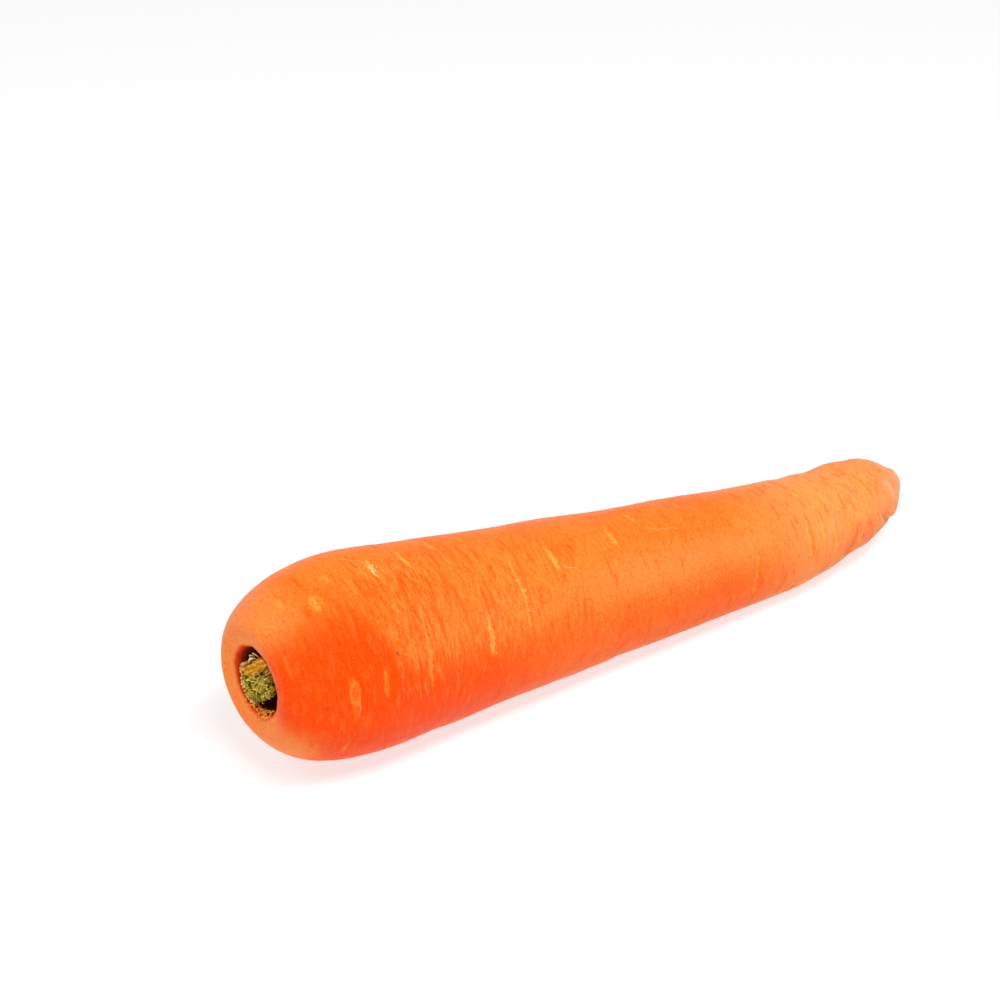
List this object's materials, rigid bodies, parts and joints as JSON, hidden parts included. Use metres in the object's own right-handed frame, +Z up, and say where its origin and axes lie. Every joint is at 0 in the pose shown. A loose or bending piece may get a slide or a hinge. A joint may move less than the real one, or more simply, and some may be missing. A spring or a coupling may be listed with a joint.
{
  "type": "carrot",
  "caption": "Large tapering carrot root lying on its side, with a rounded shoulder, cut leaf stalk bases in its sunken crown and a blunt, slightly bent tip.",
  "frame": {"origin": "centre of the bounding box's base, on the surface that the root lies on", "axes": "+X from the crown towards the tip, +Y towards the side that the tip bends to, +Z up"},
  "size_m": [0.1804, 0.0416, 0.0417],
  "materials": {
    "root_skin": "smooth, moist, satin orange root skin with paler transverse scars",
    "green_stalk": "dull olive green, fibrous, torn",
    "ochre_stalk": "dry golden ochre, slightly waxy",
    "brown_stalk": "dry beige-brown fibre",
    "dry_sheath": "pale, thin, papery"
  },
  "bodies": {
    "root": {"taproot": "root_skin", "green_stalk_bases": "green_stalk", "ochre_stalk_base": "ochre_stalk", "brown_stalk_base": "brown_stalk", "dry_sheath": "dry_sheath"}
  },
  "joints": []
}
